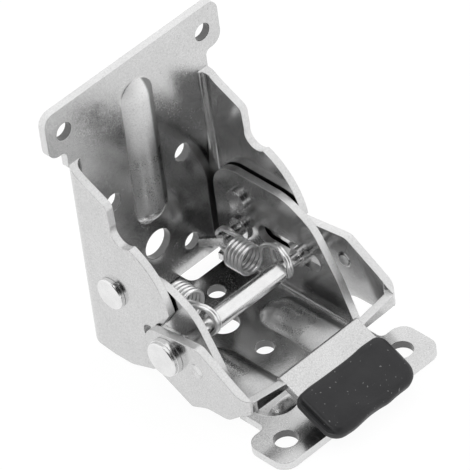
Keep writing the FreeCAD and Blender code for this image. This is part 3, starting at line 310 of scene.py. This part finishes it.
SHEET_TONE = 0.64
SHEET_CLOUDS = (0.95, 1.03)
SHEET_BRIGHTEST = 0.97
SHEET_CREVICE_SHADE = (0.0018, 0.45)
SHEET_ROUGH = (0.15, 0.25)
RIM_TONE_AND_HIGHLIGHT = 0.76
RIM_ROUGH = 0.22
HOLE_SHADE_TINT = 0.22
FLECK_TINT = 0.88  # scattered darker specks
FLECK_LEVEL = (0.66, 0.74)
GRIT_TINT = (0.88, 1.10)  # the fine grain
GRIT_ROUGH = (-0.03, 0.05)
GRIT_HEIGHT = 0.12
WAVE_HEIGHT = 0.35  # the slow waves of rolled sheet
RAISED_HIGHLIGHT_TINT = 1.12
RAISED_ROUGH = 0.08
CREST_HIGHLIGHT_TINT = 1.4
CREST_ROUGH = 0.45
FLANK_SHADE_TINT = 0.35

TURNED_TONE = 0.82
TURNED_CLOUDS = ((0.3, 0.92), (0.6, 1.0), (0.8, 1.05))  # places and tints
TURNED_ROUGH = (0.2, 0.28)
RINGS_STRETCH = (1.0, 0.05, 0.05)
RINGS_HEIGHT = 0.5

WIRE_TONE = (0.97, 1.0)
WIRE_GAP_SHADE = (0.0006, 0.1)
WIRE_ROUGH = (0.28, 0.36)

RUBBER_DARK = (0.026, 0.026, 0.028, 1)
RUBBER_PALE = (0.040, 0.040, 0.042, 1)
RUBBER_ROUGH = (0.40, 0.52)
DUST_COLOUR = (0.35, 0.35, 0.35, 1)
DUST_LEVEL = (0.725, 0.76)
DUST_SHARE = 0.6


def plated_sheet(name):
    # bright zinc on rolled sheet: faint clouds, a very fine grain, paler sheared edges partly
    # as their own tone and partly as a painted edge highlight, painted highlights and shade
    # on the pressed forms, and painted shade in holes and crevices
    material, tree, shader = new_material(name + "_plating")
    shader.inputs["Metallic"].default_value = 1.0
    cloud = noise(tree, scale=130, detail=3.0)
    grit = noise(tree, scale=2600, detail=2.0, rough=0.6)
    waves = noise(tree, scale=210, detail=2.0)
    specks = noise(tree, scale=1500, detail=1.0)
    rims, holes = sheared_edges(tree, name)
    raised, highlight_crest, shaded_flank = pressed_forms(tree, name)

    tints = [
        spread(tree, cloud, *[SHEET_TONE * tint for tint in SHEET_CLOUDS]),
        spread(tree, specks, 1.0, FLECK_TINT, *FLECK_LEVEL),
        spread(tree, grit, *GRIT_TINT),
        # painted highlight on the raised rib and beads and on the pips
        tinted(tree, raised, RAISED_HIGHLIGHT_TINT),
        # painted highlight on the crests
        tinted(tree, highlight_crest, CREST_HIGHLIGHT_TINT),
        # painted shade on the pressed forms' right flanks and in the rings round the pips
        tinted(tree, shaded_flank, FLANK_SHADE_TINT),
        # sheared edges: partly their own paler tone, partly a painted edge highlight
        tinted(tree, rims, RIM_TONE_AND_HIGHLIGHT / SHEET_TONE),
    ]
    if holes is not None:
        # painted shade on the walls of the holes
        tints.append(tinted(tree, holes, HOLE_SHADE_TINT))
    colour = join_math(tree, "MINIMUM", product(tree, *tints), SHEET_BRIGHTEST)
    # painted shade where another surface is near: corners and the gaps between parts
    colour = product(tree, colour, crevice_shade(tree, *SHEET_CREVICE_SHADE))
    tree.links.new(colour, shader.inputs["Base Color"])

    rough = total(
        tree,
        spread(tree, cloud, *SHEET_ROUGH),
        spread(tree, grit, *GRIT_ROUGH),
        product(tree, rims, RIM_ROUGH),
        product(tree, raised, RAISED_ROUGH),
        product(tree, highlight_crest, CREST_ROUGH),
    )
    tree.links.new(rough, shader.inputs["Roughness"])

    height = total(tree, product(tree, waves, WAVE_HEIGHT), product(tree, grit, GRIT_HEIGHT))
    bumped(tree, shader, height, strength=0.25, distance=0.0002, edge=0.00025)
    return material


def turned_steel(name):
    # plated round pieces, with faint rings of the turning tool
    material, tree, shader = new_material(name)
    shader.inputs["Metallic"].default_value = 1.0
    cloud = noise(tree, scale=260, detail=3.0)
    pits = noise(tree, scale=1800, detail=2.0)
    rings = noise(tree, scale=1500, detail=2.0, stretch=RINGS_STRETCH)
    stops = [(place, TURNED_TONE * tint) for place, tint in TURNED_CLOUDS]
    tree.links.new(ramp(tree, cloud, stops), shader.inputs["Base Color"])
    tree.links.new(spread(tree, pits, *TURNED_ROUGH), shader.inputs["Roughness"])
    height = total(tree, product(tree, rings, RINGS_HEIGHT), pits)
    bumped(tree, shader, height, strength=0.05, distance=0.0002, edge=0.0003)
    return material


def spring_wire(name):
    # bright drawn wire, with painted shade between its turns
    material, tree, shader = new_material(name)
    shader.inputs["Metallic"].default_value = 1.0
    cloud = noise(tree, scale=500, detail=2.0)
    draw = noise(tree, scale=1500, detail=2.0)
    # painted shade where the turns lie close together
    gap_shade = crevice_shade(tree, *WIRE_GAP_SHADE)
    colour = product(tree, spread(tree, cloud, *WIRE_TONE), gap_shade)
    tree.links.new(colour, shader.inputs["Base Color"])
    tree.links.new(spread(tree, draw, *WIRE_ROUGH), shader.inputs["Roughness"])
    bumped(tree, shader, draw, strength=0.03, distance=0.0001)
    return material


def dipped_rubber(name):
    # near-black rubber with a faint pebble and a few pale dust specks
    material, tree, shader = new_material(name)
    speck = noise(tree, scale=1150, detail=1.0)
    cloud = noise(tree, scale=160, detail=4.0)
    pebble = noise(tree, scale=1500, detail=3.0)
    dust = ramp(tree, speck, [(0.0, 0.0), (DUST_LEVEL[0], 0.0), (DUST_LEVEL[1], 1.0)])
    dark = ramp(tree, cloud, [(NOISE_LOW, RUBBER_DARK), (NOISE_HIGH, RUBBER_PALE)])
    # the mix node's colours are its inputs 6 and 7 and its output 2
    mix = node(tree, "ShaderNodeMix", {7: DUST_COLOUR}, data_type="RGBA")
    tree.links.new(product(tree, dust, DUST_SHARE), mix.inputs["Factor"])
    tree.links.new(dark, mix.inputs[6])
    tree.links.new(mix.outputs[2], shader.inputs["Base Color"])
    tree.links.new(spread(tree, cloud, *RUBBER_ROUGH), shader.inputs["Roughness"])
    shader.inputs["Specular IOR Level"].default_value = 0.3
    bumped(tree, shader, pebble, strength=0.12, distance=0.00025)
    return material


PLATES = {}
for name in ("base_bracket", "upright_bracket", "release_lever"):
    PLATES[name] = plated_sheet(name)
TURNED = turned_steel("turned_steel")
WIRE_STEEL = spring_wire("spring_wire")
RUBBER = dipped_rubber("rubber_grip")

for name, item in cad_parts.items():
    material = PLATES.get(name, TURNED)
    if name == "lever_grip":
        material = RUBBER
    if name.startswith("spring_") and "anchor" not in name:
        material = WIRE_STEEL
    item.data.materials.clear()
    item.data.materials.append(material)


# New pieces are meshes in the shared frame, smooth all over.


def add_object(name, data):
    item = bpy.data.objects.new(name, data)
    bpy.context.scene.collection.objects.link(item)
    return item


def smooth_piece(mesh, name, material):
    mesh.name = name
    for face in mesh.polygons:
        face.use_smooth = True
    mesh.materials.append(material)
    return add_object(name, mesh)


# Springs: one wire each, wound as a double loop, a close coil and a second double
# loop. Sizes are in millimetres; a loop's place is its middle's y and z.

TURN = 2 * math.pi
WIRE_RADIUS = 0.6
COIL_RADIUS = 3.7
COIL_X = 10.4
COIL_Z = 16.8
COIL_REAR = -6.3
COIL_PITCH = 1.25
COIL_FIRST = math.radians(40)
COIL_LAST = math.radians(20) + 5 * TURN
LOOP_RADIUS = 4.3
LOOP_X = 14.1
LOOP_STEP = 0.63  # how far a loop's two turns stand from its middle
REAR_LOOP = (-1.4, 14.2)
REAR_FIRST = math.pi
REAR_TURNS = 1.75
FRONT_LOOP = (-20.2, 18.5)
FRONT_FIRST = math.pi / 2
FRONT_TURNS = 1.6
FRONT_LEAN = 0.28  # the front loop's slope towards the coil
POINTS_PER_TURN = 30
BEND_POINTS = 12


def turn_points(first, last, place):
    # points along a wound stretch; place turns an angle into a point
    count = int((last - first) / TURN * POINTS_PER_TURN)
    return [place(first + (last - first) * index / count) for index in range(count + 1)]


def bend_points(before, after):
    # a smooth bend (a Hermite curve) from the end of one stretch to the start of the next
    start = before[-1]
    end = after[0]
    reach = (end - start).length
    out = (before[-1] - before[-2]).normalized() * reach
    into = (after[1] - after[0]).normalized() * reach
    points = []
    for index in range(1, BEND_POINTS):
        t = index / BEND_POINTS
        a = 2 * t ** 3 - 3 * t ** 2 + 1
        b = t ** 3 - 2 * t ** 2 + t
        c = -2 * t ** 3 + 3 * t ** 2
        d = t ** 3 - t ** 2
        points.append(start * a + out * b + end * c + into * d)
    return points


def rear_loop(angle):
    y, z = REAR_LOOP
    share = (angle - REAR_FIRST) / (REAR_TURNS * TURN)
    x = LOOP_X + LOOP_STEP * (1 - 2 * share)
    return Vector((x, y + LOOP_RADIUS * math.cos(angle), z + LOOP_RADIUS * math.sin(angle)))


def coil(angle):
    y = COIL_REAR - WIRE_RADIUS - COIL_PITCH * (angle - COIL_FIRST) / TURN
    x = COIL_X + COIL_RADIUS * math.cos(angle)
    return Vector((x, y, COIL_Z + COIL_RADIUS * math.sin(angle)))


def front_loop(angle):
    y, z = FRONT_LOOP
    share = (angle - FRONT_FIRST) / (FRONT_TURNS * TURN)
    ahead = LOOP_RADIUS * math.cos(angle)
    x = LOOP_X + LOOP_STEP * (2 * share - 1) + FRONT_LEAN * ahead
    return Vector((x, y + ahead, z + LOOP_RADIUS * math.sin(angle)))


def spring_path(side):
    # the wire's middle line in metres; side is -1 on the left and 1 on the right
    rear = turn_points(REAR_FIRST, REAR_FIRST + REAR_TURNS * TURN, rear_loop)
    middle = turn_points(COIL_FIRST, COIL_LAST, coil)
    front = turn_points(FRONT_FIRST, FRONT_FIRST + FRONT_TURNS * TURN, front_loop)
    points = rear + bend_points(rear, middle) + middle
    points += bend_points(middle, front) + front
    return [Vector((side * p.x, p.y, p.z)) * MM for p in points]


def wire_mesh(name, points):
    # the mesh of a round wire along a line of points
    curve = bpy.data.curves.new(name + "_line", "CURVE")
    curve.dimensions = "3D"
    curve.bevel_depth = WIRE_RADIUS * MM
    curve.bevel_resolution = 3
    curve.resolution_u = 2
    curve.use_fill_caps = True
    spline = curve.splines.new("NURBS")
    spline.points.add(len(points) - 1)
    for spot, point in zip(spline.points, points):
        spot.co = (point.x, point.y, point.z, 1)
    spline.order_u = 3
    spline.use_endpoint_u = True
    holder = add_object(name + "_line", curve)
    mesh = bpy.data.meshes.new_from_object(holder)
    bpy.data.objects.remove(holder)
    return mesh


for word, side in (("left", -1), ("right", 1)):
    name = "spring_wire_" + word
    wire = smooth_piece(wire_mesh(name, spring_path(side)), name, WIRE_STEEL)
    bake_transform(wire)
    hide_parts("spring_" + word)


# Rubber grip: a dipped, slightly swollen block round the tab. Its sizes are in
# millimetres: x across, v down the tab's slope and high square to the tab.

TAB_Y = -46.9
TAB_Z = 13.4
TAB_ANGLE = math.radians(25.0)
GRIP_HALF = 15.2
GRIP_REAR = 5.9
GRIP_FRONT = 21.0
GRIP_MIDDLE = 0.5 * (GRIP_REAR + GRIP_FRONT)
GRIP_TOP = 1.45
GRIP_LOW = -3.35
GRIP_ROUND = 1.9
GRIP_CROWN = 0.22
CORNERS = (  # x, v, radius and first angle in degrees
    (GRIP_HALF, GRIP_REAR, 2.6, -90),
    (GRIP_HALF, GRIP_FRONT, 4.4, 0),
    (-GRIP_HALF, GRIP_FRONT, 4.2, 90),
    (-GRIP_HALF, GRIP_REAR, 2.2, 180),
)
CORNER_STEPS = 12
OUTLINE_POINTS = 240
LOW_RINGS = (0.25, 0.45, 0.62, 0.76, 0.87, 0.95)
TOP_RINGS = (0.97, 0.92, 0.85, 0.76, 0.65, 0.5, 0.34, 0.17)
RIM_STEPS = 48
RIM_TOP = 90
WAIST = 10  # degrees each way in which the rim's side is flat
WAIST_RISE = 0.03  # its height per degree
TOP_FADE = 0.2  # share of the top over which the rim's swell fades out
RIM_WAVE = (0.10, 0.42, 0.6, 0.5)  # height, waves along x with their start, and along v
TOP_WAVE = (0.05, 0.7, 1.0, 0.6)

# Creases in the grip's rim: height, place and width, by x on the rear and the
# front, and by the rim's angle in degrees at the left and right ends.

REAR_CREASES = ((0.20, -10.5, 2.4), (-0.12, -4.0, 3.0), (0.10, 8.5, 2.0))
FRONT_CREASES = ((0.28, 4.0, 2.2), (-0.25, -2.0, 3.0), (0.2, -8.5, 2.5))
LEFT_CREASES = ((0.6, 58, 5), (-0.5, 38, 8), (0.5, 18, 5))
RIGHT_CREASES = ((0.4, 62, 7), (-0.25, 46, 7))
LEFT_RUN = (7.0, 18.6)  # the left ones run between these along v
RUN_SLOPE = 2.0
RIGHT_PLACE = (9.5, 2.6)  # place and width of the right ones along v
FRONT_BAND = (0, 40)  # the front ones' angle up the rim and its width


def grip_outline():
    # plan of the grip: evenly spaced points (x, v) with outward directions
    rough = []
    for x, v, radius, first in CORNERS:
        middle_x = x - math.copysign(radius, x)
        middle_v = v + radius if v == GRIP_REAR else v - radius
        for index in range(CORNER_STEPS + 1):
            angle = math.radians(first + 90 * index / CORNER_STEPS)
            out = (math.cos(angle), math.sin(angle))
            rough.append(((middle_x + radius * out[0], middle_v + radius * out[1]), out))
    rough.append(rough[0])
    lengths = [0.0]
    for (a, _), (b, _) in zip(rough, rough[1:]):
        lengths.append(lengths[-1] + math.dist(a, b))
    points = []
    place = 0
    for index in range(OUTLINE_POINTS):
        want = lengths[-1] * index / OUTLINE_POINTS
        while lengths[place + 1] < want:
            place += 1
        share = (want - lengths[place]) / (lengths[place + 1] - lengths[place])
        (a, out_a), (b, out_b) = rough[place], rough[place + 1]
        spot = [a[k] + (b[k] - a[k]) * share for k in (0, 1)]
        out = Vector([out_a[k] + (out_b[k] - out_a[k]) * share for k in (0, 1)])
        points.append((spot, out.normalized()))
    return points


def hump(value, centre, width):
    return math.exp(-(((value - centre) / width) ** 2))


def creases(rows, value):
    return sum(height * hump(value, centre, width) for height, centre, width in rows)


def grip_swell(x, v, out, angle):
    # how far the skin stands proud at a rim point: a gentle wave and the creases
    height, along_x, first, along_v = RIM_WAVE
    swell = height * math.sin(x * along_x + first) * math.cos(v * along_v)
    swell += max(0.0, -out.y) * creases(REAR_CREASES, x)
    start, end = LEFT_RUN
    run = 1.0 / (1.0 + math.exp(-RUN_SLOPE * (v - start)))
    run /= 1.0 + math.exp(RUN_SLOPE * (v - end))
    swell += max(0.0, -out.x) * run * creases(LEFT_CREASES, angle)
    swell += max(0.0, out.y) * hump(angle, *FRONT_BAND) * creases(FRONT_CREASES, x)
    swell += max(0.0, out.x) * hump(v, *RIGHT_PLACE) * creases(RIGHT_CREASES, angle)
    return swell


def grip_point(x, v, high):
    # a point of the grip in the shared frame, in metres
    y = TAB_Y - v * math.cos(TAB_ANGLE) - high * math.sin(TAB_ANGLE)
    z = TAB_Z - v * math.sin(TAB_ANGLE) + high * math.cos(TAB_ANGLE)
    return Vector((x, y, z)) * MM


def rim_point(x, v, out, degrees):
    # a point on the rounded rim, from -90 at the underside to 90 at the top
    angle = math.radians(degrees)
    swell = grip_swell(x, v, out, degrees)
    middle = GRIP_TOP - GRIP_ROUND if degrees >= 0 else GRIP_LOW + GRIP_ROUND
    high = middle + (GRIP_ROUND + swell) * math.sin(angle)
    if abs(degrees) < WAIST:
        high = 0.5 * (GRIP_TOP + GRIP_LOW) + degrees * WAIST_RISE
    push = swell * math.cos(angle) - GRIP_ROUND * (1 - math.cos(angle))
    return grip_point(x + out.x * push, v + out.y * push, high)


def flat_point(x, v, out, share, on_top):
    # a point on the top or the underside, at a share of the way out to the rim
    flat_x = (x - out.x * GRIP_ROUND) * share
    flat_v = GRIP_MIDDLE + (v - out.y * GRIP_ROUND - GRIP_MIDDLE) * share
    high = GRIP_LOW
    if on_top:
        height, along_x, first, along_v = TOP_WAVE
        swell = grip_swell(x, v, out, RIM_TOP) * hump(share, 1.0, TOP_FADE)
        high = GRIP_TOP + swell + GRIP_CROWN * (1 - share ** 4)
        high += height * math.sin(flat_x * along_x + first) * math.sin(flat_v * along_v)
    return grip_point(flat_x, flat_v, high)


def grip_rings():
    # rings of points from the middle of the underside, round the rim, to the
    # middle of the top; the first and the last are single points
    outline = grip_outline()
    rings = [[grip_point(0.0, GRIP_MIDDLE, GRIP_LOW)]]
    for share in LOW_RINGS:
        rings.append([flat_point(x, v, out, share, False) for (x, v), out in outline])
    for index in range(RIM_STEPS + 1):
        degrees = -RIM_TOP + 2 * RIM_TOP * index / RIM_STEPS
        rings.append([rim_point(x, v, out, degrees) for (x, v), out in outline])
    for share in TOP_RINGS:
        rings.append([flat_point(x, v, out, share, True) for (x, v), out in outline])
    rings.append([grip_point(0.0, GRIP_MIDDLE, GRIP_TOP + GRIP_CROWN)])
    return rings


def grip_mesh():
    made = bmesh.new()
    grid = [[made.verts.new(point) for point in pip_shade_ring] for pip_shade_ring in grip_rings()]
    for below, above in zip(grid, grid[1:]):
        count = max(len(below), len(above))
        for index in range(count):
            after = (index + 1) % count
            if len(below) == 1:
                made.faces.new((below[0], above[after], above[index]))
            elif len(above) == 1:
                made.faces.new((below[index], below[after], above[0]))
            else:
                made.faces.new((below[index], below[after], above[after], above[index]))
    bmesh.ops.recalc_face_normals(made, faces=made.faces)
    mesh = bpy.data.meshes.new("grip_skin")
    made.to_mesh(mesh)
    made.free()
    return mesh


item = smooth_piece(grip_mesh(), "grip_skin", RUBBER)
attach(item, "lever")
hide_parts("lever_grip")


# Floor, light and camera.

WHITE = (1, 1, 1, 1)
FLOOR_SIZE = 4.0
FLOOR_Z = -0.0002
FLOOR_COLOUR = (0.86, 0.86, 0.86, 1)
FLOOR_GLOW = 1.05
GLOW_SHARE = 0.9
BACKDROP = 1.0
ROOM_BRIGHT = 1.12
ROOM_DIM = 0.0
DIM_SIDE = (-0.485, -0.579, 0.655)
DIM_FROM = 0.62  # cosines of the angle from the dim side's middle
DIM_TO = 0.88
LAMP_SPOT = (-0.25, -0.37, 1.15)
LAMP_TARGET = (0, 0, 0.03)
LAMP_SIZE = 0.25
LAMP_POWER = 1.2
CAMERA_SPOT = (-0.73594, -0.89811, 1.03092)
CAMERA_RIGHT = (0.70088, -0.70562, -0.10420)
CAMERA_UP = (0.52279, 0.40881, 0.74804)
CAMERA_BACK = (-0.48524, -0.57876, 0.65542)
CAMERA_LENS = 468.25
CAMERA_SENSOR = 36.0
CAMERA_REACH = (0.1, 20)


def white_floor():
    # a matt floor that glows white for the camera and in the plating's reflections
    bpy.ops.mesh.primitive_plane_add(size=FLOOR_SIZE, location=(0, 0, FLOOR_Z))
    floor = bpy.context.object
    floor.name = "floor"
    material, tree, shader = new_material("floor_white")
    shader.inputs["Base Color"].default_value = FLOOR_COLOUR
    shader.inputs["Roughness"].default_value = 0.9
    path = node(tree, "ShaderNodeLightPath")
    glow = node(tree, "ShaderNodeEmission", {"Color": WHITE, "Strength": FLOOR_GLOW})
    words = ("Camera", "Glossy", "Transmission")
    rays = [path.outputs["Is " + word + " Ray"] for word in words]
    seen = product(tree, any_of(tree, *rays), GLOW_SHARE)
    mix = node(tree, "ShaderNodeMixShader")
    tree.links.new(seen, mix.inputs["Fac"])
    tree.links.new(shader.outputs["BSDF"], mix.inputs[1])
    tree.links.new(glow.outputs["Emission"], mix.inputs[2])
    output = tree.nodes["Material Output"]
    tree.links.new(mix.outputs["Shader"], output.inputs["Surface"])
    floor.data.materials.append(material)


def room_light():
    # a bright room with one dim side, so that the folded plates show dark inside
    world = bpy.data.worlds.new("studio")
    bpy.context.scene.world = world
    world.use_nodes = True
    tree = world.node_tree
    background = tree.nodes["Background"]
    background.inputs["Color"].default_value = WHITE
    place = node(tree, "ShaderNodeTexCoord")
    aim = node(tree, "ShaderNodeVectorMath", {1: DIM_SIDE}, operation="DOT_PRODUCT")
    tree.links.new(place.outputs["Generated"], aim.inputs[0])
    room = node(
        tree,
        "ShaderNodeMapRange",
        {"From Min": DIM_FROM, "From Max": DIM_TO, "To Min": ROOM_BRIGHT, "To Max": ROOM_DIM},
        interpolation_type="SMOOTHSTEP",
    )
    tree.links.new(aim.outputs["Value"], room.inputs["Value"])
    path = node(tree, "ShaderNodeLightPath")
    mix = node(tree, "ShaderNodeMix", {"B": BACKDROP}, data_type="FLOAT")
    tree.links.new(path.outputs["Is Camera Ray"], mix.inputs["Factor"])
    tree.links.new(room.outputs["Result"], mix.inputs["A"])
    tree.links.new(mix.outputs["Result"], background.inputs["Strength"])


def overhead_light():
    data = bpy.data.lights.new("overhead_left", "AREA")
    data.size = LAMP_SIZE
    data.energy = LAMP_POWER
    item = add_object("overhead_left", data)
    item.location = LAMP_SPOT
    aim = Vector(LAMP_TARGET) - Vector(LAMP_SPOT)
    item.rotation_euler = aim.to_track_quat("-Z", "Y").to_euler()


def camera():
    data = bpy.data.cameras.new("camera")
    data.sensor_width = CAMERA_SENSOR
    data.lens = CAMERA_LENS
    data.clip_start, data.clip_end = CAMERA_REACH
    item = add_object("camera", data)
    turn = Matrix((CAMERA_RIGHT, CAMERA_UP, CAMERA_BACK)).transposed().to_4x4()
    item.matrix_world = Matrix.Translation(CAMERA_SPOT) @ turn
    bpy.context.scene.camera = item


bpy.context.scene.view_settings.view_transform = "Standard"
white_floor()
room_light()
overhead_light()
camera()
